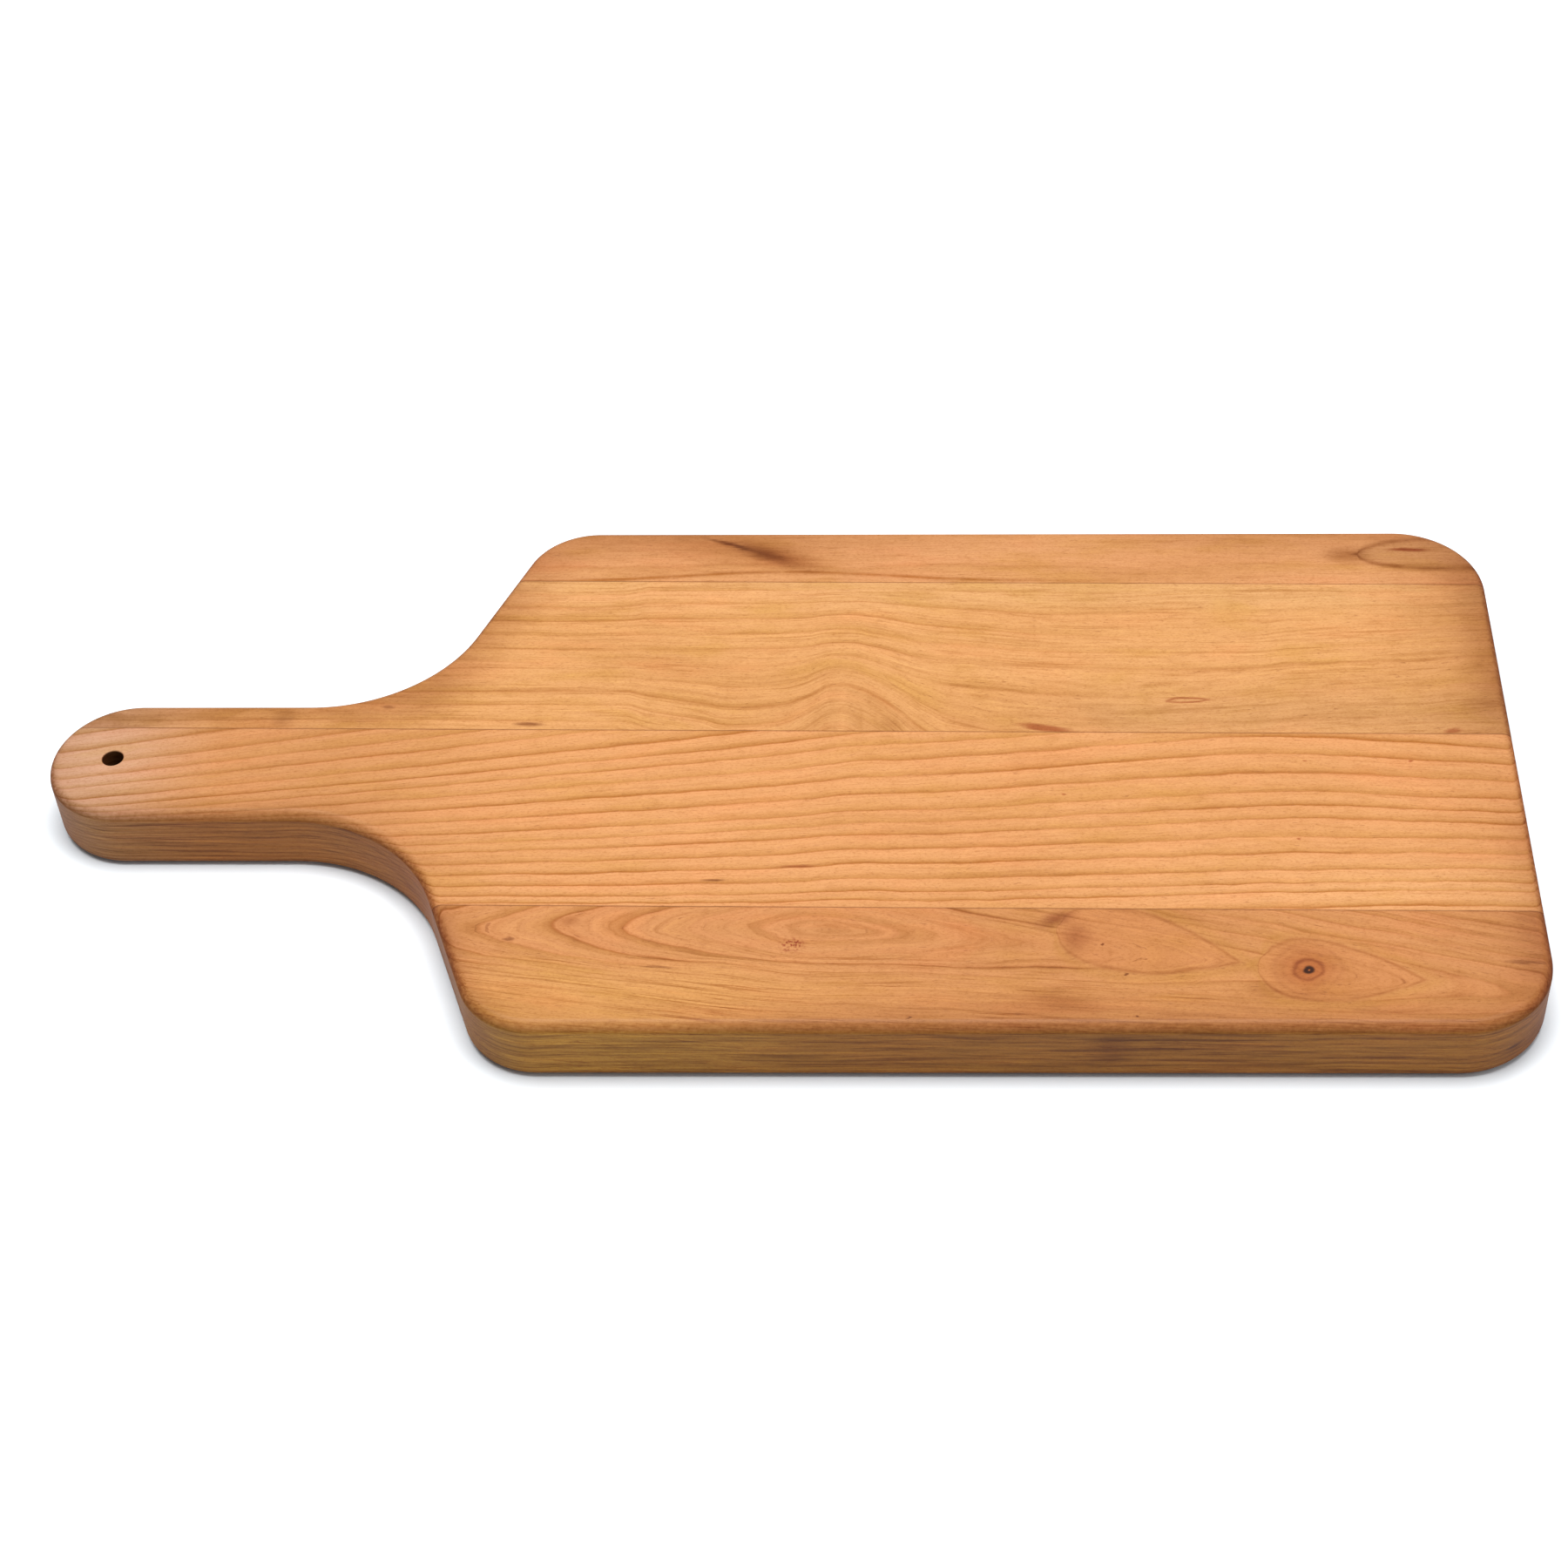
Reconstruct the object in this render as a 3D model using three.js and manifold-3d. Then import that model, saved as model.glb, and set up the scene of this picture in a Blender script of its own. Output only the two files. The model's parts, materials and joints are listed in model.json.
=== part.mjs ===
// Paddle-shaped cutting board of solid cherry: four staves glued edge to edge, with a handle at the
// -X end and a hanging hole near its tip. The same face profile is eased all round on both sides, so
// the board is used either way up.
//
// Millimetres, +Z up. The board lies flat: X runs along its length, Y across it, and the underside
// is at z = 0. The origin is the middle of the underside.

import * as THREE from 'three';
import { mergeVertices } from 'three/addons/utils/BufferGeometryUtils.js';
import Module from 'manifold-3d';

// Overall size
const LENGTH = 450;
const WIDTH = 216;
const THICKNESS = 22.2;

// Outline, seen from above
const END_CORNER_RADIUS = 28; // the two corners of the broad end
const SHOULDER_RADIUS = 23.5; // where a long side turns in to its shoulder
const SHOULDER_ANGLE = 69; // degrees from the board's length to the straight part of a shoulder
const NECK_RADIUS = 51; // the hollow curve from a shoulder to the handle
const HANDLE_WIDTH = 49; // the handle ends in a half circle of this diameter
const HANDLE_LENGTH = 143.5; // from the tip to the line where the long sides would end

// Eased edges
const EDGE_ROUND = 3.4;
const HOLE_EASE = 0.5;

// Hanging hole, drilled right through
const HOLE_DIAMETER = 6.35;
const HOLE_FROM_TIP = 19.3;

// Glue lines, from the back to the front: their places across the board at its middle. They run
// very slightly out of line with the outline.
const GLUE_LINES = [81.8, 11.8, -62.2];
const GLUE_LINE_TURN = -0.45; // degrees
const GLUE_THICKNESS = 0.1;
const CLEARANCE = 0.1; // left on both faces of each glue film

// Fineness of the round stretches
const ARC_STEP = 6; // degrees
const EDGE_STEPS = 4;
const HOLE_SIDES = 24;

// Cherry staves, each from its own plank, and the dried glue between them
const STAVE_COLOURS = { back: 0xd09a66, upper: 0xdcaa70, middle: 0xe3a670, front: 0xd69a63 };
const STAVE_ROUGHNESS = 0.5;
const GLUE_COLOUR = 0x6e4426;
const GLUE_ROUGHNESS = 0.4;

const wasm = await Module();
wasm.setup();

// A closed three.js geometry as a solid that can be cut.
function toSolid(geometry) {
  geometry.deleteAttribute('normal');
  geometry.deleteAttribute('uv');
  const merged = mergeVertices(geometry, 1e-4);
  const triangles = [];
  for (let i = 0; i < merged.index.count; i += 3) {
    const [a, b, c] = [0, 1, 2].map((k) => merged.index.getX(i + k));
    if (a !== b && b !== c && c !== a) triangles.push(a, b, c);
  }
  return new wasm.Manifold(new wasm.Mesh({
    numProp: 3,
    vertProperties: new Float32Array(merged.attributes.position.array),
    triVerts: new Uint32Array(triangles),
  }));
}

function toGeometry(solid) {
  const { vertProperties, triVerts } = solid.getMesh();
  const geometry = new THREE.BufferGeometry();
  geometry.setAttribute('position', new THREE.BufferAttribute(vertProperties, 3));
  geometry.setIndex(new THREE.BufferAttribute(triVerts, 1));
  geometry.computeVertexNormals();
  return geometry;
}

// The arc that rounds one corner of a polygon, as points ARC_STEP apart.
function cornerArc(before, corner, after) {
  const start = before.point.clone().sub(corner.point).normalize();
  const end = after.point.clone().sub(corner.point).normalize();
  const halfOpening = Math.acos(start.dot(end)) / 2;
  const turn = Math.PI - 2 * halfOpening;
  const side = Math.sign(end.cross(start)); // +1 where the outline turns left
  const toCentre = start.clone().add(end).normalize();
  const centre = corner.point.clone()
    .addScaledVector(toCentre, corner.radius / Math.sin(halfOpening));
  const steps = Math.ceil(THREE.MathUtils.radToDeg(turn) / ARC_STEP);
  const spoke = toCentre.clone().multiplyScalar(-corner.radius);
  return Array.from({ length: steps + 1 }, (_, i) => {
    const angle = side * (i / steps - 0.5) * turn;
    return spoke.clone().rotateAround(new THREE.Vector2(), angle).add(centre);
  });
}

// The outline of the whole board, anticlockwise seen from above.
function boardOutline() {
  const halfWidth = WIDTH / 2;
  const halfHandle = HANDLE_WIDTH / 2;
  const broadEnd = LENGTH / 2;
  const tip = -LENGTH / 2;
  const shoulder = tip + HANDLE_LENGTH;
  const slope = Math.tan(THREE.MathUtils.degToRad(SHOULDER_ANGLE));
  const neck = shoulder - (halfWidth - halfHandle) / slope;
  const frontHalf = [
    [tip, -halfHandle, halfHandle],
    [neck, -halfHandle, NECK_RADIUS],
    [shoulder, -halfWidth, SHOULDER_RADIUS],
    [broadEnd, -halfWidth, END_CORNER_RADIUS],
  ];
  const backHalf = frontHalf.map(([x, y, radius]) => [x, -y, radius]).reverse();
  const corners = [...frontHalf, ...backHalf]
    .map(([x, y, radius]) => ({ point: new THREE.Vector2(x, y), radius }));
  const points = corners.flatMap((corner, i) => {
    const before = corners[(i + corners.length - 1) % corners.length];
    return cornerArc(before, corner, corners[(i + 1) % corners.length]);
  });
  return points.filter((point, i) => point.distanceTo(points.at(i - 1)) > 1e-3);
}

// The whole board with its eased edges, before it is divided into staves.
function boardBlank() {
  const geometry = new THREE.ExtrudeGeometry(new THREE.Shape(boardOutline()), {
    depth: THICKNESS - 2 * EDGE_ROUND,
    bevelThickness: EDGE_ROUND,
    bevelSize: EDGE_ROUND,
    bevelOffset: -EDGE_ROUND,
    bevelSegments: EDGE_STEPS,
  });
  geometry.translate(0, 0, EDGE_ROUND);
  return toSolid(geometry);
}

// The drill and its countersinks: a cylinder that opens at 45 degrees at both faces.
function hangingHole() {
  const radius = HOLE_DIAMETER / 2;
  const overrun = 1;
  const mouth = radius + HOLE_EASE + overrun;
  const profile = [
    [0, -overrun],
    [mouth, -overrun],
    [radius, HOLE_EASE],
    [radius, THICKNESS - HOLE_EASE],
    [mouth, THICKNESS + overrun],
    [0, THICKNESS + overrun],
  ].map(([r, z]) => new THREE.Vector2(r, z));
  const geometry = new THREE.LatheGeometry(profile, HOLE_SIDES);
  geometry.rotateX(Math.PI / 2);
  geometry.translate(-LENGTH / 2 + HOLE_FROM_TIP, 0, 0);
  return toSolid(geometry);
}

// A block longer and taller than the board, between two lines that run with the glue lines.
function slab(front, back) {
  const geometry = new THREE.BoxGeometry(2 * LENGTH, back - front, 3 * THICKNESS);
  geometry.translate(0, (front + back) / 2, 0);
  geometry.rotateZ(THREE.MathUtils.degToRad(GLUE_LINE_TURN));
  return toSolid(geometry);
}

function material(color, roughness) {
  return new THREE.MeshStandardMaterial({ color, roughness, metalness: 0 });
}

function addPiece(group, name, solid, look) {
  const mesh = new THREE.Mesh(toGeometry(solid), look);
  mesh.name = name;
  group.add(mesh);
}

// The four staves, from the back to the front.
function addStaves(group, board) {
  const margin = GLUE_THICKNESS / 2 + CLEARANCE;
  const edges = [WIDTH, ...GLUE_LINES, -WIDTH];
  Object.entries(STAVE_COLOURS).forEach(([place, colour], i) => {
    const stave = board.intersect(slab(edges[i + 1] + margin, edges[i] - margin));
    addPiece(group, `stave_${place}`, stave, material(colour, STAVE_ROUGHNESS));
  });
}

// The three glue films, each as wide and high as the joint that it fills.
function addGlueFilms(group, board) {
  const look = material(GLUE_COLOUR, GLUE_ROUGHNESS);
  const places = ['back', 'middle', 'front'];
  GLUE_LINES.forEach((y, i) => {
    const film = board.intersect(slab(y - GLUE_THICKNESS / 2, y + GLUE_THICKNESS / 2));
    addPiece(group, `glue_line_${places[i]}`, film, look);
  });
}

const group = new THREE.Group();
const board = boardBlank().subtract(hangingHole());
addStaves(group, board);
addGlueFilms(group, board);

export default group;
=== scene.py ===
# Looks of the paddle-shaped cherry cutting board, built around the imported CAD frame.
# Meshes are in metres; the wood's figure is worked out in millimetres, in the same frame.
import json
import math

import bmesh
import bpy
from mathutils import Matrix, Vector


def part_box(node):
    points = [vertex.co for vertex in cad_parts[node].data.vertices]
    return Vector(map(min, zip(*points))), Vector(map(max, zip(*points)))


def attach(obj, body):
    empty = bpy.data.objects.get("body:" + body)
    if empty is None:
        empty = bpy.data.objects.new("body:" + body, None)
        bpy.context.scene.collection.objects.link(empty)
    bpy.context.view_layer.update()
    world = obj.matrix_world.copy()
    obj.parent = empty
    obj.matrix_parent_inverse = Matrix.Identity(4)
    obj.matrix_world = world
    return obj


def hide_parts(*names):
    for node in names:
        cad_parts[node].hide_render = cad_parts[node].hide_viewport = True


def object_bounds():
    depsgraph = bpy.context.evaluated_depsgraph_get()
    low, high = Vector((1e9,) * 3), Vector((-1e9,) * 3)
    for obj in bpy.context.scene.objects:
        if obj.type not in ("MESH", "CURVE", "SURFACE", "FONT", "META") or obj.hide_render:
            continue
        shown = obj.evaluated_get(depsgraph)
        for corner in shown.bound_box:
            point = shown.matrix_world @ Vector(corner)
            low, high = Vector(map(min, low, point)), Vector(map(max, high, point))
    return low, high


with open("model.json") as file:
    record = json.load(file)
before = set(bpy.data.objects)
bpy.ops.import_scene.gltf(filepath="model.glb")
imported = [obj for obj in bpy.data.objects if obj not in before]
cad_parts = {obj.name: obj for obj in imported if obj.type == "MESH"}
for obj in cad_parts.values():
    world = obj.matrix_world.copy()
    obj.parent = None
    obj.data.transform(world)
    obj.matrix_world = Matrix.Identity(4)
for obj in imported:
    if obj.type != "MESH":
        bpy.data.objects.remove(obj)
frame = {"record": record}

CAD_LOW, CAD_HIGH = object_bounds()
MM = 0.001

# The outline, as in the CAD model
LENGTH, WIDTH, THICKNESS = CAD_HIGH - CAD_LOW
END_CORNER_RADIUS = 28 * MM
SHOULDER_RADIUS = 23.5 * MM
SHOULDER_ANGLE = math.radians(69)
NECK_RADIUS = 51 * MM
HANDLE_WIDTH = 49 * MM
HANDLE_LENGTH = 143.5 * MM
EDGE_ROUND = 3.4 * MM
HOLE_RADIUS = 3.175 * MM
HOLE_EASE = 0.5 * MM
CAD_GLUE_THICKNESS = 0.1 * MM
GLUE_THICKNESS = 0.16 * MM

# Fineness of the meshes
ARC_STEP = math.radians(2)
EDGE_STEPS = 10
HOLE_SIDES = 72
HOLE_RIM_STEPS = 6
SHARP_ANGLE = math.radians(35)

HALF_LENGTH_MM = LENGTH / MM / 2
HALF_WIDTH_MM = WIDTH / MM / 2
TOP_MM = THICKNESS / MM
ENDLESS = 1000  # millimetres, well past the board on every side


# ---------------------------------------------------------------- camera, floor and lights

CAMERA_DISTANCE = 0.914
CAMERA_ELEVATION = math.radians(44.9)
CAMERA_AZIMUTH = math.radians(1.14)
CAMERA_ROLL = math.radians(-0.84)
CAMERA_TARGET = Vector((50.5 * MM, 10.7 * MM, 0))
CAMERA_LENS = 66.8
CAMERA_SHIFT = -0.104

WORLD_COLOUR = (0.86, 0.93, 1, 1)
WORLD_STRENGTH = 0.22
FLOOR_COLOUR = (0.7, 0.735, 0.775, 1)
FLOOR_HALF_SIZE = 3


def turned_towards(back, roll=0):
    """The rotation of a camera or light whose back points along back, upright but for its roll."""
    side = Vector((0, 0, 1)).cross(back).normalized()
    up = back.cross(side)
    turn = Matrix.Rotation(roll, 3, back)
    return Matrix((turn @ side, turn @ up, back)).transposed().to_euler()


def direction(azimuth, elevation):
    """From the board towards a place at this azimuth, where 0 is in front of it, and elevation."""
    level = math.cos(elevation)
    return Vector((math.sin(azimuth) * level, -math.cos(azimuth) * level, math.sin(elevation)))


def make_camera():
    camera = bpy.data.objects.new("camera", bpy.data.cameras.new("camera"))
    back = direction(CAMERA_AZIMUTH, CAMERA_ELEVATION)
    camera.location = CAMERA_TARGET + back * CAMERA_DISTANCE
    camera.rotation_euler = turned_towards(back, CAMERA_ROLL)
    camera.data.lens = CAMERA_LENS
    camera.data.shift_x = CAMERA_SHIFT
    bpy.context.scene.collection.objects.link(camera)
    bpy.context.scene.camera = camera


def make_softbox(name, azimuth, elevation, distance, size, power, colour):
    """A rectangular area light that faces the board's middle; its two angles are in degrees."""
    data = bpy.data.lights.new(name, "AREA")
    data.shape = "RECTANGLE"
    data.size, data.size_y = size
    data.energy = power
    data.color = colour
    light = bpy.data.objects.new(name, data)
    back = direction(math.radians(azimuth), math.radians(elevation))
    light.location = back * distance
    light.rotation_euler = turned_towards(back)
    bpy.context.scene.collection.objects.link(light)


def make_studio():
    scene = bpy.context.scene
    scene.view_settings.view_transform = "Standard"
    scene.world = bpy.data.worlds.new("studio")
    scene.world.use_nodes = True
    background = scene.world.node_tree.nodes["Background"]
    background.inputs["Color"].default_value = WORLD_COLOUR
    background.inputs["Strength"].default_value = WORLD_STRENGTH
    make_softbox("overhead", 180, 86.5, 1.5, (1.3, 0.9), 46, (1, 0.985, 0.96))
    make_softbox("right_fill", 60, 40, 1.6, (0.8, 0.8), 4, (1, 0.98, 0.95))


def make_floor():
    mesh = bmesh.new()
    bmesh.ops.create_grid(mesh, x_segments=8, y_segments=8, size=FLOOR_HALF_SIZE)
    floor = mesh_object("floor", mesh)
    material = bpy.data.materials.new("floor_paper")
    material.use_nodes = True
    shader = material.node_tree.nodes["Principled BSDF"]
    shader.inputs["Base Color"].default_value = FLOOR_COLOUR
    shader.inputs["Roughness"].default_value = 0.9
    shader.inputs["Specular IOR Level"].default_value = 0.2
    floor.data.materials.append(material)


# ---------------------------------------------------------------- shapes

def mesh_object(name, mesh):
    data = bpy.data.meshes.new(name)
    mesh.to_mesh(data)
    mesh.free()
    piece = bpy.data.objects.new(name, data)
    bpy.context.scene.collection.objects.link(piece)
    return piece


def rounded_corner(before, corner, after, radius):
    """The arc that rounds a corner, as pairs of a point and the outline's outward normal there."""
    to_before = (before - corner).normalized()
    to_after = (after - corner).normalized()
    half_opening = to_before.angle(to_after) / 2
    turn = math.pi - 2 * half_opening
    middle = (to_before + to_after).normalized()
    centre = corner + middle * (radius / math.sin(half_opening))
    side = 1 if to_after.x * to_before.y > to_after.y * to_before.x else -1
    steps = math.ceil(turn / ARC_STEP)
    arc = []
    for i in range(steps + 1):
        spoke = Matrix.Rotation(side * (i / steps - 0.5) * turn, 2) @ -middle
        arc.append((centre + spoke * radius, spoke * side))
    return arc


def board_outline():
    """Points and outward normals round the whole board, anticlockwise seen from above."""
    shoulder = CAD_LOW.x + HANDLE_LENGTH
    half_handle = HANDLE_WIDTH / 2
    neck = shoulder - (CAD_HIGH.y - half_handle) / math.tan(SHOULDER_ANGLE)
    front = [
        (Vector((CAD_LOW.x, -half_handle)), half_handle),
        (Vector((neck, -half_handle)), NECK_RADIUS),
        (Vector((shoulder, CAD_LOW.y)), SHOULDER_RADIUS),
        (Vector((CAD_HIGH.x, CAD_LOW.y)), END_CORNER_RADIUS),
    ]
    back = [(Vector((point.x, -point.y)), radius) for point, radius in reversed(front)]
    corners = front + back
    outline = []
    for i, (point, radius) in enumerate(corners):
        following = corners[(i + 1) % len(corners)][0]
        outline += rounded_corner(corners[i - 1][0], point, following, radius)
    return [here for i, here in enumerate(outline) if (here[0] - outline[i - 1][0]).length > 1e-6]


def edge_profile():
    """Insets from the outline and heights, from the underside up round both eased edges."""
    quarter = [math.pi / 2 * i / EDGE_STEPS for i in range(EDGE_STEPS + 1)]
    lower = [(EDGE_ROUND * (1 - math.sin(a)), EDGE_ROUND * (1 - math.cos(a))) for a in quarter]
    upper = [(inset, THICKNESS - height) for inset, height in reversed(lower)]
    return lower + upper


def board_mesh():
    """The whole board, undivided and undrilled: a ring of faces for each step of the profile."""
    mesh = bmesh.new()
    outline = board_outline()
    rings = []
    for inset, height in edge_profile():
        ring = [(*(point - normal * inset), height) for point, normal in outline]
        rings.append([mesh.verts.new(place) for place in ring])
    for lower, upper in zip(rings, rings[1:]):
        for i in range(len(outline)):
            mesh.faces.new((lower[i - 1], lower[i], upper[i], upper[i - 1]))
    mesh.faces.new(reversed(rings[0]))
    mesh.faces.new(rings[-1])
    return mesh


class GlueLine:
    """The line of a glue film across the board, read from its CAD node: it turns slightly."""

    def __init__(self, node):
        low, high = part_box(node)
        self.slope = -(high.y - low.y - CAD_GLUE_THICKNESS) / (high.x - low.x)
        self.offset = (low.y + high.y) / 2 - self.slope * (low.x + high.x) / 2

    def trim(self, mesh, shift, keep_back):
        """Cuts away the mesh on one side of the line, moved by shift, and closes it there."""
        normal = Vector((-self.slope, 1, 0)).normalized()
        cut = bmesh.ops.bisect_plane(
            mesh,
            geom=mesh.verts[:] + mesh.edges[:] + mesh.faces[:],
            plane_co=(0, self.offset + shift, 0),
            plane_no=normal,
            clear_inner=keep_back,
            clear_outer=not keep_back,
        )
        rim = [item for item in cut["geom_cut"] if isinstance(item, bmesh.types.BMEdge)]
        bmesh.ops.contextual_create(mesh, geom=rim)


def board_strip(name, front=None, back=None, margin=0.0):
    """The part of the board between two glue lines, less a margin on the glued sides."""
    mesh = board_mesh()
    if front:
        front.trim(mesh, margin, keep_back=True)
    if back:
        back.trim(mesh, -margin, keep_back=False)
    bmesh.ops.recalc_face_normals(mesh, faces=mesh.faces[:])
    return mesh_object(name, mesh)


def hole_box():
    """The lowest and highest corners of the hanging hole's opening, from the record."""
    return [Vector(corner) for corner in frame["record"]["physics"]["openings"][0]["box_m"]]


def hole_cutter():
    """The drilled hole with its rims rounded over, taller than the board."""
    low, high = hole_box()
    centre = (low + high) / 2
    overrun = 1 * MM
    lower = [(HOLE_RADIUS + 3 * HOLE_EASE, -overrun)]
    for i in range(HOLE_RIM_STEPS + 1):
        angle = math.pi / 2 * i / HOLE_RIM_STEPS
        widening = HOLE_EASE * (1 - math.sin(angle))
        lower.append((HOLE_RADIUS + widening, HOLE_EASE * (1 - math.cos(angle))))
    profile = lower + [(radius, THICKNESS - height) for radius, height in reversed(lower)]
    mesh = bmesh.new()
    rings = []
    for radius, height in profile:
        ring = []
        for i in range(HOLE_SIDES):
            angle = 2 * math.pi * i / HOLE_SIDES
            x = centre.x + radius * math.cos(angle)
            y = centre.y + radius * math.sin(angle)
            ring.append(mesh.verts.new((x, y, height)))
        rings.append(ring)
    for lower, upper in zip(rings, rings[1:]):
        for i in range(HOLE_SIDES):
            mesh.faces.new((lower[i - 1], lower[i], upper[i], upper[i - 1]))
    mesh.faces.new(reversed(rings[0]))
    mesh.faces.new(rings[-1])
    return mesh_object("hole_cutter", mesh)


def apply_modifiers(piece):
    """Puts the result of the piece's modifiers in its mesh."""
    graph = bpy.context.evaluated_depsgraph_get()
    finished = bpy.data.meshes.new_from_object(piece.evaluated_get(graph))
    piece.modifiers.clear()
    piece.data = finished


def drill(piece):
    cutter = hole_cutter()
    cut = piece.modifiers.new("hole", "BOOLEAN")
    cut.object = cutter
    cut.operation = "DIFFERENCE"
    cut.solver = "EXACT"
    apply_modifiers(piece)
    bpy.data.objects.remove(cutter)


def smooth(piece):
    """Smooth shading with hard cut edges, and faces that stay flat up to their eased edges."""
    piece.data.shade_smooth()
    piece.data.set_sharp_from_angle(angle=SHARP_ANGLE)
    weights = piece.modifiers.new("normals", "WEIGHTED_NORMAL")
    weights.keep_sharp = True
    apply_modifiers(piece)


# ---------------------------------------------------------------- shader arithmetic

class Signal:
    """A value that varies over a surface: a shader socket that takes part in ordinary sums."""

    def __init__(self, socket):
        self.socket = socket

    def __add__(self, other):
        return maths("ADD", self, other)

    def __sub__(self, other):
        return maths("SUBTRACT", self, other)

    def __mul__(self, other):
        return maths("MULTIPLY", self, other)

    def __truediv__(self, other):
        return maths("DIVIDE", self, other)

    def __rsub__(self, other):
        return maths("SUBTRACT", other, self)

    def __neg__(self):
        return maths("MULTIPLY", self, -1)

    __radd__ = __add__
    __rmul__ = __mul__


def node_beside(values, kind):
    """A new node in the tree that the first signal among the values belongs to."""
    signal = next(value for value in values if isinstance(value, Signal))
    return signal.socket.id_data.nodes.new(kind)


def plug(value, slot):
    if isinstance(value, Signal):
        slot.id_data.links.new(value.socket, slot)
    else:
        slot.default_value = value


def maths(operation, *values):
    node = node_beside(values, "ShaderNodeMath")
    node.operation = operation
    for value, slot in zip(values, node.inputs):
        plug(value, slot)
    return Signal(node.outputs[0])


def ramp(value, start, end):
    """0 up to start, 1 from end on, and a smooth step between them; start may be the larger."""
    node = node_beside([value], "ShaderNodeMapRange")
    node.interpolation_type = "SMOOTHSTEP"
    plug(value, node.inputs["Value"])
    plug(start, node.inputs["From Min"])
    plug(end, node.inputs["From Max"])
    return Signal(node.outputs["Result"])


def bell(value):
    """1 where the value is 0, and falling smoothly to 0 past about 2 on both sides."""
    return maths("EXPONENT", -(value * value))


def size_of(value):
    return maths("ABSOLUTE", value)


def above(value, floor):
    """How far the value is above the floor, or 0."""
    return maths("MAXIMUM", value - floor, 0)


def point(x, y, z):
    node = node_beside([x, y, z], "ShaderNodeCombineXYZ")
    for value, slot in zip((x, y, z), node.inputs):
        plug(value, slot)
    return Signal(node.outputs[0])


def noise(place, detail=2.0, roughness=0.5):
    """Smooth noise about 1 unit across, from -1 to 1."""
    node = node_beside([place], "ShaderNodeTexNoise")
    plug(place, node.inputs["Vector"])
    node.inputs["Scale"].default_value = 1
    node.inputs["Detail"].default_value = detail
    node.inputs["Roughness"].default_value = roughness
    return Signal(node.outputs["Fac"]) * 2 - 1


def local(place, centre, size, angle):
    """A place as seen from a tilted box: its centre is 0 and its faces are at 1 and -1."""
    node = node_beside([place], "ShaderNodeMapping")
    node.vector_type = "TEXTURE"
    plug(place, node.inputs["Vector"])
    node.inputs["Location"].default_value = centre
    node.inputs["Rotation"].default_value = (0, 0, math.radians(angle))
    node.inputs["Scale"].default_value = size
    return Signal(node.outputs[0])


def length_of(place):
    node = node_beside([place], "ShaderNodeVectorMath")
    node.operation = "LENGTH"
    plug(place, node.inputs[0])
    return Signal(node.outputs["Value"])


def parts_of(place):
    node = node_beside([place], "ShaderNodeSeparateXYZ")
    plug(place, node.inputs[0])
    return [Signal(output) for output in node.outputs]


def blend(first, second, amount, mode="MIX"):
    """One colour laid over another."""
    node = node_beside([first, second, amount], "ShaderNodeMix")
    node.data_type = "RGBA"
    node.blend_type = mode
    plug(amount, node.inputs[0])
    plug(first, node.inputs[6])
    plug(second, node.inputs[7])
    return Signal(node.outputs[2])


# ---------------------------------------------------------------- cherry wood

# Colours that are multiplied into the wood beneath them
LATEWOOD = (0.66, 0.5, 0.28, 1)
PITCH_BROWN = (0.34, 0.19, 0.09, 1)
GUM_RED = (0.56, 0.29, 0.2, 1)
OLIVE = (0.93, 0.93, 0.76, 1)
BLUSH = (1.04, 0.98, 0.99, 1)
STRAW = (1.07, 1.1, 1.08, 1)
SHADE = (0.82, 0.75, 0.62, 1)
PORE = (0.62, 0.5, 0.4, 1)
END_GRAIN = (0.8, 0.62, 0.54, 1)
# Darker near the outline: partly oil drunk by the wood, partly painted shade of the light falling
# off there
SOAK_AND_PAINTED_SHADE = (0.7, 0.6, 0.54, 1)
GLUE_SOAKED = (0.62, 0.46, 0.34, 1)
EDGE_BURNISH = (0.7, 0.56, 0.4, 1)
HOLE_SHADE = (0.16, 0.11, 0.09, 1)
# Side faces: painted light, a yellower tone that offsets the cool light falling on them; the
# darker one also paints shade on the middle stave's sides
SIDE_PAINTED_LIGHT_TONE = (1.05, 1.07, 0.52, 1)
DARK_SIDE_PAINTED_SHADE = (0.92, 0.78, 0.44, 1)
SIDE_STREAK = (0.66, 0.57, 0.42, 1)
PALE_STREAK = (1.22, 1.24, 1.16, 1)


def inset_of(x, y):
    """How far in from the board's outline a place is, with the corners rounded off."""
    rounding = 24.0
    half_handle = HANDLE_WIDTH / MM / 2
    beside = size_of(y)
    shoulder = -HALF_LENGTH_MM + HANDLE_LENGTH / MM
    from_slant = (x - shoulder) * math.sin(SHOULDER_ANGLE)
    from_slant = from_slant + (HALF_WIDTH_MM - beside) * math.cos(SHOULDER_ANGLE)
    body = maths("SMOOTH_MIN", HALF_WIDTH_MM - beside, HALF_LENGTH_MM - x, rounding)
    body = maths("SMOOTH_MIN", body, from_slant, rounding)
    handle = maths("SMOOTH_MIN", half_handle - beside, x + HALF_LENGTH_MM, rounding)
    return maths("SMOOTH_MAX", body, handle, rounding)


def ring_count(height, lines):
    """Counts growth rings downwards through ring lines at the given heights, highest first."""
    span = lines[0] - lines[-1]
    node = node_beside([height], "ShaderNodeFloatCurve")
    curve = node.mapping.curves[0]
    steps = len(lines) - 1
    for _ in lines[2:]:
        curve.points.new(0.5, 0.5)
    for i, (knot, line) in enumerate(zip(curve.points, reversed(lines))):
        knot.location = ((line - lines[-1]) / span, i / steps)
        knot.handle_type = "VECTOR"
    node.mapping.update()
    plug((height - lines[-1]) / span, node.inputs["Value"])
    return Signal(node.outputs[0]) * -steps


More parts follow.
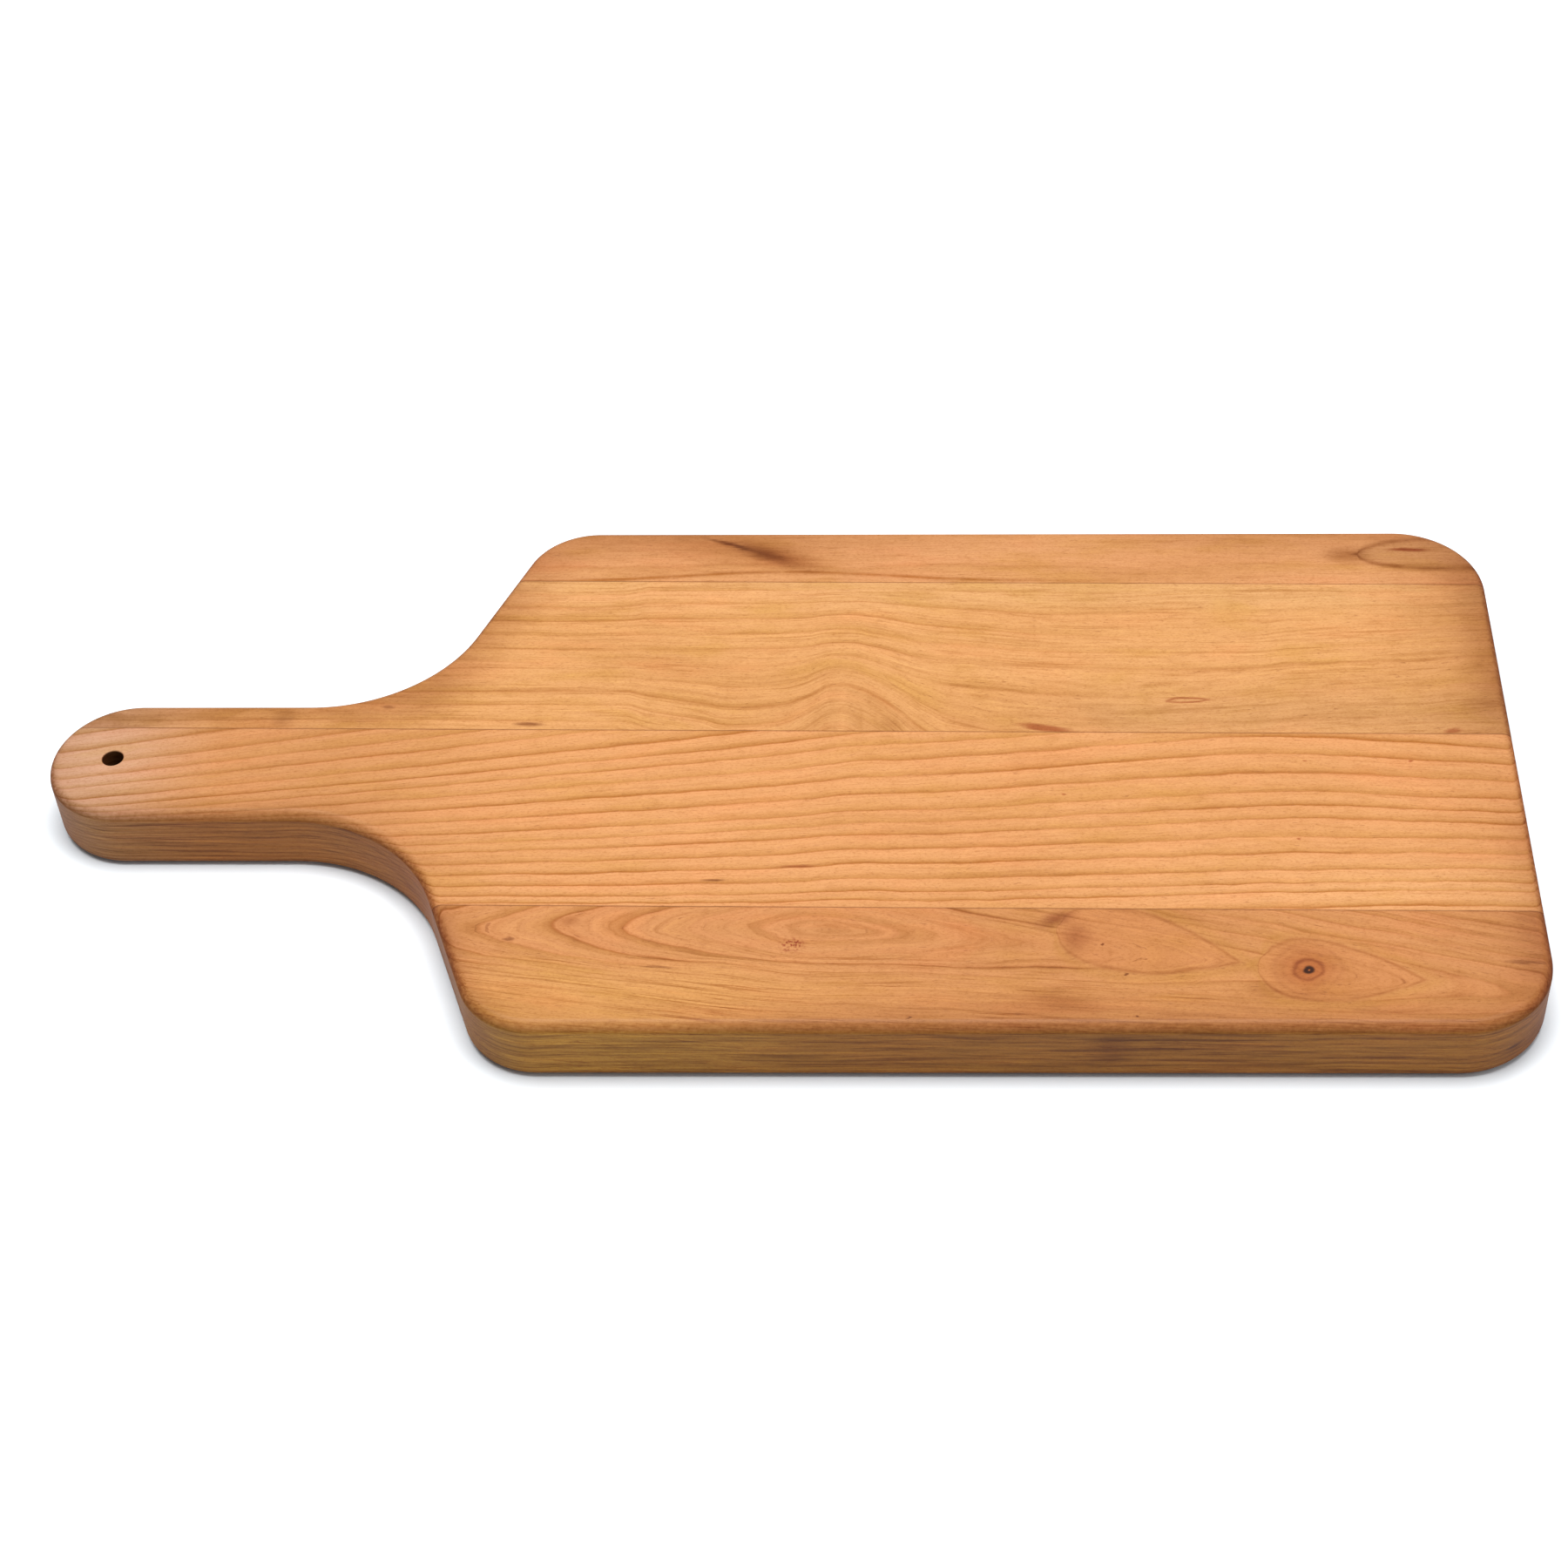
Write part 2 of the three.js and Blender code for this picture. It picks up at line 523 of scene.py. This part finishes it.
def height_through(x, places):
    """The height, at each x, of a smooth line through the places given as pairs of x and y."""
    low, high = min(y for _, y in places), max(y for _, y in places)
    start, end = places[0][0], places[-1][0]
    node = node_beside([x], "ShaderNodeFloatCurve")
    curve = node.mapping.curves[0]
    for _ in places[2:]:
        curve.points.new(0.5, 0.5)
    for knot, (at_x, at_y) in zip(curve.points, places):
        knot.location = ((at_x - start) / (end - start), (at_y - low) / (high - low))
        knot.handle_type = "AUTO"
    node.mapping.update()
    plug((x - start) / (end - start), node.inputs["Value"])
    return Signal(node.outputs[0]) * (high - low) + low


class Wood:
    """A cherry material in the making: its colour is laid down in layers, then finished.

    x, y and z are the place in millimetres, and inset is how far it is in from the outline.
    bend is the grain's own height: streaks and pores follow the lines where it is the same.
    """

    def __init__(self, name, colour):
        self.material = bpy.data.materials.new(name)
        self.material.use_nodes = True
        self.tree = self.material.node_tree
        self.tree.nodes.clear()
        coordinates = self.tree.nodes.new("ShaderNodeTexCoord")
        scaled = self.tree.nodes.new("ShaderNodeVectorMath")
        scaled.operation = "SCALE"
        scaled.inputs["Scale"].default_value = 1 / MM
        self.tree.links.new(coordinates.outputs["Object"], scaled.inputs[0])
        self.place = Signal(scaled.outputs[0])
        self.x, self.y, self.z = parts_of(self.place)
        self.inset = inset_of(self.x, self.y)
        waver = noise(point(self.x * 0.06, self.y * 0.13, self.z * 0.06), detail=3)
        self.wavering = point(self.x + waver * 1.6, self.y - waver * 1.4, self.z)
        self.colour = colour
        self.relief = 0

    def tint(self, colour, amount):
        self.colour = blend(self.colour, colour, amount, "MULTIPLY")

    def set_grain(self, bend):
        """Fixes which way the fibres run, and a fibrous place that frays the edges of marks."""
        self.bend = bend
        fray = noise(point(self.x * 0.11, bend * 1.3, self.z * 1.3), detail=3)
        self.frayed = point(self.x + fray * 1.6, self.y + fray * 0.9, self.z)

    def rings(self, count, strength=1.0, sharpness=7.0):
        """Growth rings: each darkens slowly to its latewood, then starts pale again at a line."""
        phase = maths("FRACT", count)
        latewood = maths("POWER", phase, sharpness) * 0.9 + maths("POWER", phase, 2) * 0.13
        start = ramp(phase, 0.09, 0.0)
        fade = 0.76 + noise(point(self.x * 0.014, count * 0.9, 3.7), detail=3) * 1.3
        line = maths("MAXIMUM", latewood, start) * fade * strength
        self.tint(OLIVE, ramp(phase, 0.5, 0.9) * 0.7 * strength)
        self.tint(LATEWOOD, line)
        self.tint(BLUSH, ramp(phase, 0.4, 0.1) * 0.6 * strength)
        self.relief = self.relief + line * 0.25

    def figure(self, mottle=0.5, streaks=0.5):
        """Patches of warmer and greener colour, streaks along the fibres, and fine pores."""
        x, bend, z = self.x, self.bend, self.z
        cloud = noise(point(x * 0.011, bend * 0.04, z * 0.04), detail=2)
        self.tint(SHADE, ramp(cloud, -0.1, 0.6) * mottle * 0.5)
        patch = noise(point(x * 0.03, bend * 0.11, z * 0.11), detail=3)
        self.tint(OLIVE, ramp(patch, 0, 0.5) * mottle)
        self.tint(BLUSH, ramp(patch, 0, -0.5) * mottle)
        shimmer = noise(point(x * 0.2, bend * 0.4, z * 0.4), detail=3)
        self.tint(SHADE, ramp(shimmer, -0.1, 0.7) * mottle * 0.5)
        self.tint(STRAW, ramp(shimmer, -0.1, -0.6) * mottle * 0.45)
        streak = noise(point(x * 0.022, bend * 0.85, z * 0.85), detail=4, roughness=0.62)
        self.tint(SHADE, ramp(streak, 0, 0.5) * streaks)
        self.tint(STRAW, ramp(streak, -0.02, -0.5) * streaks)
        fibre = noise(point(x * 0.1, bend * 1.9, z * 1.9), detail=4, roughness=0.68)
        self.tint(SHADE, ramp(fibre, -0.05, 0.5) * 0.75)
        self.tint(STRAW, ramp(fibre, -0.05, -0.5) * 0.8)
        pore = ramp(noise(point(x * 0.3, bend * 2.8, z * 2.8), detail=2), 0.26, 0.52)
        self.tint(PORE, pore * 0.75)
        grit = noise(point(x * 0.9, self.y * 1.9, z * 1.9), detail=3, roughness=0.75)
        self.tint(SHADE, ramp(grit, 0, 0.42) * 0.95)
        self.tint(STRAW, ramp(grit, 0, -0.42))
        self.relief = self.relief + fibre * 0.3 - pore

    def wisps(self, strength, spacing=2.2):
        """Thin broken lines that run with the fibres, the edges of flat-sawn rings."""
        x, bend, z = self.x, self.bend / spacing, self.z / spacing
        level = noise(point(x * 0.012, bend, z), detail=3, roughness=0.6)
        broken = ramp(noise(point(x * 0.03, bend * 0.7, z + 7.7), detail=3), -0.15, 0.35)
        self.tint(LATEWOOD, ramp(size_of(level), 0.09, 0) * broken * strength)
        self.tint(STRAW, ramp(size_of(level - 0.2), 0.1, 0) * broken * strength)

    def mark(self, place, size, angle=0.0, colour=PITCH_BROWN, amount=0.8, core=0.25):
        """A blot centred on a place, with its size as length, width and depth."""
        inside = local(self.frayed, place, [extent / 2 for extent in size], angle)
        self.tint(colour, ramp(length_of(inside), 1, core) * amount)

    def line(self, distance, width, colour=LATEWOOD, amount=1.0):
        """A line where the distance is 0, uneven along its length."""
        uneven = 0.75 + noise(point(self.x * 0.09, self.y * 0.09, 9.1), detail=3) * 0.9
        self.tint(colour, bell(distance / width) * uneven * amount)

    def glued(self, *lines):
        """The thin dark line of glue that has gone into the stave where it is joined."""
        for i, line in enumerate(lines):
            distance = self.y - (self.x * line.slope + line.offset / MM)
            uneven = 0.65 + noise(point(self.x * 0.04, float(i), 4.4), detail=4) * 0.8
            self.tint(GLUE_SOAKED, bell(distance / 0.3) * uneven)

    def soak_and_shade_outline(self, strength, depth=20.0):
        """Darker near the outline and towards the broad end, with an uneven limit: partly oil
        drunk by the wood there, partly painted shade of the light falling off towards the edges.
        """
        uneven = noise(point(self.x * 0.05, self.bend * 0.3, self.z * 0.3), detail=3) * 5
        # Painted shade near the edges and the broad end, together with the oil the wood drinks
        # there
        self.tint(SOAK_AND_PAINTED_SHADE, ramp(self.inset + uneven, depth, -2) * strength)
        self.tint(SOAK_AND_PAINTED_SHADE, ramp(self.x + uneven, 178, 250) * strength)

    def finish(self, side_painted_tone=SIDE_PAINTED_LIGHT_TONE):
        """Edges and end grain, the oil's sheen and the fine relief, and the finished material."""
        geometry = self.tree.nodes.new("ShaderNodeNewGeometry")
        normal = Signal(geometry.outputs["Normal"])
        across, _, upward = [size_of(part) for part in parts_of(normal)]
        end = ramp(across, 0.25, 0.95)
        side = ramp(upward, 0.6, 0.1)
        dots = noise(point(self.x * 0.5, self.y * 4, self.z * 4), detail=2)
        self.tint(END_GRAIN, end * (0.8 + dots * 0.3))
        # Painted light on the side faces: a yellower tone against the cool light that falls on
        # them
        self.tint(side_painted_tone, side)
        layers = noise(point(self.x * 0.016, self.y * 0.04, self.z * 0.7), detail=5, roughness=0.7)
        self.tint(SIDE_STREAK, side * ramp(layers, -0.02, 0.4) * (1 - end * 0.6))
        self.tint(PALE_STREAK, side * ramp(layers, -0.02, -0.4) * (1 - end * 0.6))
        bow = noise(point(self.x * 0.02, self.y * 0.02, 1.5), detail=2) * 2
        bowed = point(self.x * 0.03, self.y * 0.08, self.z * 1.1 + bow)
        dashes = noise(bowed, detail=4, roughness=0.6)
        self.tint(SIDE_STREAK, side * ramp(dashes, 0.02, 0.26) * (1 - end * 0.5))
        self.tint(PALE_STREAK, side * ramp(dashes, -0.04, -0.32) * (1 - end * 0.5))
        rough_edge = 0.7 + noise(point(self.x * 0.55, self.y * 0.9, self.z * 0.9), detail=4) * 1.8
        eased = ramp(upward, 0.992, 0.8) * ramp(upward, 0.02, 0.3)
        self.tint(EDGE_BURNISH, eased * rough_edge * (0.5 + end * 0.6))
        output = self.tree.nodes.new("ShaderNodeOutputMaterial")
        shader = self.tree.nodes.new("ShaderNodeBsdfPrincipled")
        plug(self.colour, shader.inputs["Base Color"])
        sheen = noise(point(self.x * 0.05, self.y * 0.05, self.z * 0.05), detail=3)
        worn = sheen * 0.06 - self.relief * 0.05 + end * 0.12 + eased * 0.3
        plug(worn + 0.46, shader.inputs["Roughness"])
        shader.inputs["Specular IOR Level"].default_value = 0.15
        bump = self.tree.nodes.new("ShaderNodeBump")
        bump.inputs["Strength"].default_value = 0.35
        bump.inputs["Distance"].default_value = 0.06 * MM
        plug(self.relief, bump.inputs["Height"])
        self.tree.links.new(bump.outputs[0], shader.inputs["Normal"])
        self.tree.links.new(shader.outputs[0], output.inputs[0])
        return self.material


def lens(wood, centre, half_length, half_width, angle, blunt):
    """Signed distance, in millimetres, from a lens-shaped line that tapers to a point.

    A blunt lens is round at its left end; the other kind is pointed at both ends.
    """
    inside = local(wood.wavering, (*centre, 0), (half_length, half_width, 1), angle)
    along, across, _ = parts_of(inside)
    if blunt:
        opening = maths("SQRT", above(along, -1)) * (1 - along)
    else:
        opening = 1 - along * along
    return (size_of(across) - opening + above(-along, 1) * 3) * half_width


def middle_stave_wood(back_glue, front_glue):
    """Even rings that rise along the handle and arch gently over the board."""
    wood = Wood("cherry_middle", (0.446, 0.21, 0.083, 1))
    x, y, z = wood.x, wood.y, wood.z
    level = y + (z - TOP_MM) * 2.2
    along = x / 100
    aside = (level + 25) / 35
    rise = along * (aside * 6.5 + 7.8) - along * along * (aside * 2.4 + 1.2)
    rise = rise - maths("POWER", size_of(along), 4) * 0.19
    rise = rise + bell((x - 148) / 38) * ramp(level, -50, 0) * 2.3 + bell((x - 22) / 15) * 1.1
    wander = noise(point(x * 0.022, level * 0.04, 0.0), detail=2) * 0.9
    shiver = noise(point(x * 0.08, level * 0.25, 0.0), detail=4) * 0.8
    height = level - rise + wander + shiver
    wood.set_grain(height)
    lines = (50.9, 38, 29.3, 21.8, 12.9, 6.3, 0.9, -5.4, -12, -18.9, -25.9, -30.9, -35.4, -41.4)
    lines += (-46.9, -52.6, -57.4, -60.6, -66, -72, -76.5, -81, -87, -92, -98, -103, -110, -116)
    wood.rings(ring_count(height, lines), strength=1 - ramp(x, -110, -175) * 0.1)
    wood.figure(mottle=0.85, streaks=0.5)
    wood.mark((-17.5, -51.5, TOP_MM), (11, 1.5, 3), 3, PITCH_BROWN, 0.8)
    wood.mark((7, -46, TOP_MM), (15, 1.8, 3), 2, GUM_RED, 0.75)
    for at_x, at_y in ((86.5, -15.8), (160, -1.6), (192, -1.8), (156, -34.6)):
        wood.mark((at_x, at_y, TOP_MM), (2.2, 1.4, 2), 0, GUM_RED, 0.8)
    wood.tint((0.87, 0.84, 0.83, 1), ramp(x, -60, -150))
    # Painted highlight: a pale lavender sheen towards the handle's tip, where a cool light
    # reflects
    wood.tint((1.0, 1.24, 2.0, 1), ramp(x, -168, -216))
    wood.tint((1.04, 1.1, 1.15, 1), ramp(level, -38, -54) * ramp(x, 90, 200))
    wood.soak_and_shade_outline(0.55 - bell((x + 95) / 35) * 0.45, depth=14.0)
    low, high = hole_box()
    hole_size = (HOLE_RADIUS / MM, HOLE_RADIUS / MM, ENDLESS)
    from_hole = length_of(local(wood.place, (low + high) / 2 / MM, hole_size, 0))
    # Painted shade of the deep hole on its wall and rim, together with the drill's burn
    wood.tint(HOLE_SHADE, ramp(from_hole, 1.07, 0.98))
    wood.glued(back_glue, front_glue)
    return wood.finish(DARK_SIDE_PAINTED_SHADE)


def upper_stave_wood(back_glue, front_glue):
    """Fine straight grain with one hump over a buried knot, and a curly sliver in the handle."""
    wood = Wood("cherry_upper", (0.444, 0.219, 0.084, 1))
    x, y, z = wood.x, wood.y, wood.z
    level = y + (z - TOP_MM) * 1.6
    low = ((-225, 30), (-105, 30.5), (-61, 30.7), (-42, 27.4), (-25, 24.2), (-15, 22.2), (-5, 23))
    low += ((5, 26.4), (11, 30.4), (16.5, 32.4), (22, 31), (28, 27.6), (34, 22.6), (39, 17))
    low += ((44, 11.6), (55, 4), (75, 0), (100, -1), (140, 2), (180, 5), (225, 8))
    high = ((-225, 50), (-105, 49.9), (-17, 49.3), (6, 50.4), (16.5, 52.6), (25, 51), (35, 47.6))
    high += ((45, 44.8), (60, 43.4), (97, 40.5), (140, 40), (160, 42), (225, 45.6))
    hump, crown = height_through(x, low), height_through(x, high)
    wander = noise(point(x * 0.018, level * 0.05, 0.0), detail=4) * 1.6
    height = (level - hump) / (crown - hump) * 20 + 30
    height = maths("MAXIMUM", height, level - (crown - 50) * ramp(level, 86, 50)) + wander
    wood.set_grain(height)
    heart = ramp(hump - level, -0.5, 2.5) * bell((x - 20) / 17)
    plain = ramp(noise(point(x * 0.012, level * 0.04, 5.0), detail=2), 0.35, -0.25)
    lines = (98, 91, 84.5, 78, 71.5, 64.3, 57, 50, 43.6, 36.8, 30, 24, 17, 10, 4, -2, -8, -14, -20)
    lively = (plain * 0.45 + 0.1) * (1 - heart) * (1 - ramp(x, 50, 110) * 0.4)
    wood.rings(ring_count(height, lines), strength=lively)
    wood.figure(mottle=1.0, streaks=1.0)
    wood.wisps(0.45)
    fan = noise(point((x - 18) * 0.2, level * 0.05, 0.0), detail=2)
    wood.tint((0.93, 0.91, 0.89, 1), heart)
    wood.tint(SHADE, heart * ramp(fan, -0.3, 0.3) * ramp(size_of(x - 18), 1, 7) * 0.7)
    wood.tint((1.06, 1.07, 1.1, 1), heart * bell((x - 18) / 1.5))
    wood.mark((33, 14, TOP_MM), (13, 12, 8), -35, (0.82, 0.76, 0.68, 1), 1.0, core=0)
    curl = noise(point(x * 0.06, y * 0.2, z * 0.2), detail=3)
    wood.tint(SHADE, ramp(x, -100, -150) * ramp(curl, -0.3, 0.4))
    wood.tint(BLUSH, bell((y - 74) / 5) * bell((x + 35) / 55))
    wood.tint((1.0, 1.06, 1.12, 1), ramp(y, 64, 74))
    wood.tint((0.87, 0.87, 0.88, 1), bell((level - 18) / 13) * ramp(x, 60, 110))
    wood.mark((-79.5, 14.7, TOP_MM), (13, 2.4, 3), -2, PITCH_BROWN, 0.85)
    wood.mark((-124, 22.5, TOP_MM), (6, 2.6, 3), 0, PITCH_BROWN, 0.6)
    wood.mark((-156, 17, TOP_MM), (13, 11, 5), 20, PITCH_BROWN, 0.36, core=0)
    wood.mark((81, 13, TOP_MM), (25, 4.2, 3), -12, GUM_RED, 0.9)
    wood.mark((207, 11.7, TOP_MM), (8, 3.4, 3), 10, GUM_RED, 0.75)
    wood.line(lens(wood, (125.5, 25.3), 7, 1.0, 0, blunt=False), 0.4, GUM_RED, 0.9)
    wood.line(height - 30, 0.8, LATEWOOD, ramp(x, -130, -90) * ramp(x, 62, 46) * 0.65)
    wood.line(height - 50, 0.7, LATEWOOD, 0.3)
    # Painted highlight: a cool lavender sheen towards the handle's tip, where a cool light
    # reflects
    wood.tint((0.82, 0.9, 1.32, 1), ramp(x, -168, -216))
    wood.soak_and_shade_outline(0.95)
    wood.glued(back_glue, front_glue)
    return wood.finish()


def back_stave_wood(glue):
    """Plain flat-sawn wood with a smoky streak, and a lens of darker wood at the broad end."""
    wood = Wood("cherry_back", (0.419, 0.196, 0.082, 1))
    x, y, z = wood.x, wood.y, wood.z
    wander = noise(point(x * 0.012, y * 0.05, z * 0.05), detail=3) * 5
    height = y * 0.5 + (z - TOP_MM) * 1.3 + wander
    wood.set_grain(y + wander * 0.4)
    wood.rings(height / 9, strength=0.35)
    wood.figure(mottle=1.0, streaks=0.5)
    wood.wisps(0.3)
    wood.line(y - (bell((x + 2) / 45) * 4.6 + 82.3), 0.8, LATEWOOD, ramp(x, 120, 60) * 1.1)
    wood.mark((-18, 98, TOP_MM), (100, 26, 22), -12, SHADE, 1.0, core=0.1)
    wood.mark((-7, 95, TOP_MM), (50, 14, 16), -22, (0.62, 0.47, 0.33, 1), 1.0, core=0)
    wood.mark((-10, 95.6, TOP_MM), (31, 8.5, 12), -26, PITCH_BROWN, 0.68, core=0)
    wood.mark((-22, 100.8, TOP_MM), (26, 3, 6), -21, PITCH_BROWN, 0.85, core=0.1)
    knot = lens(wood, (225, 96), 40, 6.8, 1.3, blunt=True)
    wood.tint((0.88, 0.89, 0.88, 1), ramp(knot, 0.5, -2.5))
    wood.line(knot, 1.2, (0.52, 0.38, 0.25, 1), 1.0)
    wood.mark((181.5, 95, TOP_MM), (24, 12, 10), 0, (0.6, 0.48, 0.36, 1), 1.0, core=0)
    wood.mark((202, 97.6, TOP_MM), (20, 2.4, 3), -1, GUM_RED, 1.0)
    wood.soak_and_shade_outline(0.9 - bell((x - 85) / 65) * 0.75)
    wood.glued(glue)
    return wood.finish()


def front_stave_wood(glue):
    """Flat-sawn wood: nested arches, two closed lenses, and a pin knot in the second one."""
    wood = Wood("cherry_front", (0.38, 0.165, 0.061, 1))
    x, y, z = wood.x, wood.y, wood.z
    axis = maths("SMOOTH_MAX", x - 20, 0, 30) * -0.13 - 70
    off_axis = y - axis
    crest = maths("SMOOTH_MIN", (x + 111.6) / 22, 5.35 - (x - 13) * 0.022, 1.2)
    falling = maths("SQRT", 1 + maths("POWER", off_axis / 5.2, 2)) + above(-off_axis, 11) * 0.13
    wander = noise(point(x * 0.018, y * 0.05, z * 0.05), detail=4) * 0.7
    open_eye = lens(wood, (109.2, -76.7), 26.5, 10.8, -14.7, blunt=True)
    knot_eye = lens(wood, (163.7, -87.6), 23.5, 10.3, -6.5, blunt=True)
    around = 0
    for centre, half_length, tilt in (((106, -76, 0), 25, -14), ((161, -87.5, 0), 23, -6)):
        inside = local(wood.wavering, centre, (half_length, 12, 1), tilt)
        around = bell(length_of(inside)) * 1.6 + around
    count = crest - falling + around + (z - TOP_MM) / 3 + wander
    wood.set_grain(count * 4.2)
    calm = ramp(open_eye, -1, 4) * ramp(knot_eye, -1, 4)
    lost = bell((count - 2.95) / 0.2)
    faint = ramp(noise(point(x * 0.014, y * 0.06, 2.0), detail=2), 0.4, -0.3)
    lively = faint * 0.4 + 0.3 + ramp(x, 40, -30) * 0.4
    inner = bell((x - 14) / 24) * bell(off_axis / 6)
    lively = lively * (1 - lost * 0.85) * (0.9 - inner * 0.65) * ramp(off_axis, -19, -8)
    wood.rings(count, strength=calm * lively + 0.12, sharpness=12.0)
    wood.figure(mottle=1.0, streaks=1.15)
    wood.wisps(calm * (ramp(off_axis, -6, -14) * 0.8 + 0.2))
    wood.line((count - 2) * 4.2, 0.45, LATEWOOD, calm * ramp(x, -30, 5) * ramp(x, 125, 95) * 0.9)
    flame = bell((x - 20) / 62) * ramp(off_axis, -9, -3)
    tongues = noise(point(x * 0.02, y * 0.16, 6.0), detail=3)
    wood.tint((1.05, 1.0, 1.0, 1), flame * ramp(tongues, -0.2, 0.2))
    wood.tint((1.06, 1.15, 1.04, 1), ramp(x, 45, -25) * ramp(y, -76, -92))
    wood.tint((0.86, 0.82, 0.83, 1), ramp(x, -55, -90) * ramp(wood.inset, 7, 1))
    wood.tint((0.95, 0.94, 0.9, 1), bell((x - 100) / 50))
    wood.tint((1.0, 1.0, 0.92, 1), ramp(y, -88, -98))
    for eye in (open_eye, knot_eye):
        wood.tint((0.98, 0.92, 0.88, 1), ramp(eye, 1, -2))
        wood.tint(OLIVE, bell((eye - 2.5) / 2.5) * 0.8)
        wood.line(eye, 0.7, (0.66, 0.48, 0.32, 1), 0.75)
    pin = length_of(local(wood.wavering, (154.5, -86.5, 0), (1, 1, ENDLESS), 0))
    wood.tint((0.8, 0.58, 0.47, 1), bell(pin / 6.5))
    for radius, width, amount in ((4.1, 0.7, 0.85), (7, 0.7, 0.16), (9.6, 0.7, 0.22)):
        wood.line(pin - radius, width, (0.55, 0.38, 0.3, 1), amount)
    wood.tint((0.1, 0.08, 0.08, 1), ramp(pin, 2.2, 1.2) * ramp(pin, 0.1, 0.5))
    speckle = ramp(noise(point(x * 0.9, y * 0.9, z * 0.9), detail=2), -0.1, 0.2)
    wood.mark((7, -77, TOP_MM), (10, 7, 5), 0, (0.52, 0.2, 0.16, 1), speckle)
    wood.mark((83, -67, TOP_MM), (17, 8, 6), 22, (0.5, 0.31, 0.23, 1), 0.9, core=0)
    wood.mark((89, -74, TOP_MM), (14, 19, 8), 0, (0.62, 0.46, 0.36, 1), 0.75, core=0)
    wood.mark((141, -94, TOP_MM), (17, 9, 6), -10, (0.78, 0.7, 0.58, 1), 1.0, core=0)
    wood.mark((84, -98, TOP_MM), (34, 11, 6), -14, (0.8, 0.72, 0.6, 1), 1.0, core=0)
    wood.mark((116, -97.5, TOP_MM), (46, 4, 4), -4, (1.14, 1.17, 1.2, 1), 1.0, core=0)
    wood.mark((98, -108, 13), (20, 9, 20), 0, (0.7, 0.6, 0.5, 1), 1.0, core=0)
    wood.mark((-58, -68, TOP_MM), (11, 6, 5), 0, (0.6, 0.45, 0.3, 1), 0.6, core=0)
    wood.mark((-31, -85.6, TOP_MM), (14, 1.6, 3), -5, PITCH_BROWN, 0.6)
    wood.mark((-75, -74.8, TOP_MM), (5, 1.9, 3), 0, PITCH_BROWN, 0.65)
    wood.mark((217, -83.7, TOP_MM), (16, 2, 3), -4, PITCH_BROWN, 0.6)
    wood.mark((87, -108, 12), (26, 8, 1.6), 0, PITCH_BROWN, 0.6)
    wood.mark((213, -104, 8.5), (10, 10, 2.4), 0, PITCH_BROWN, 0.8)
    wood.mark((-62, -106, 6), (12, 10, 1.4), 0, PITCH_BROWN, 0.6)
    for at_x, at_y in ((96.5, -76.7), (102.7, -88.3), (41, -104.5), (105, -104)):
        wood.mark((at_x, at_y, TOP_MM), (1.5, 1.4, 2), 0, PITCH_BROWN, 0.9)
    wood.soak_and_shade_outline(0.9 - ramp(x, 20, -50) * 0.5, depth=16.0)
    wood.glued(glue)
    return wood.finish()


def glue_material():
    """Dried wood glue: dark, translucent brown, slightly uneven along the joint."""
    wood = Wood("dried_glue", (0.16, 0.07, 0.028, 1))
    patch = noise(point(wood.x * 0.2, wood.y * 2, wood.z * 2), detail=3)
    wood.tint((0.55, 0.45, 0.4, 1), ramp(patch, -0.3, 0.5))
    wood.relief = patch
    return wood.finish()


# ---------------------------------------------------------------- the board

def show(piece, node, material):
    """Gives a piece its material and its place in the frame."""
    piece.data.materials.clear()
    piece.data.materials.append(material)
    smooth(piece)
    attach(piece, "root")
    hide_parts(node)


def make_board():
    glue = {place: GlueLine(f"glue_line_{place}") for place in ("back", "middle", "front")}
    half_film = GLUE_THICKNESS / 2
    back, middle, front = glue["back"], glue["middle"], glue["front"]
    staves = {
        "back": (back_stave_wood(back), back, None),
        "upper": (upper_stave_wood(back, middle), middle, back),
        "middle": (middle_stave_wood(middle, front), front, middle),
        "front": (front_stave_wood(front), None, front),
    }
    for place, (material, front, back) in staves.items():
        stave = board_strip(f"{place}_stave_wood", front, back, margin=half_film)
        if place == "middle":
            drill(stave)
        show(stave, f"stave_{place}", material)
    film_material = glue_material()
    for place, line in glue.items():
        film = board_strip(f"{place}_glue_film", line, line, margin=-half_film)
        show(film, f"glue_line_{place}", film_material)


make_camera()
make_studio()
make_floor()
make_board()
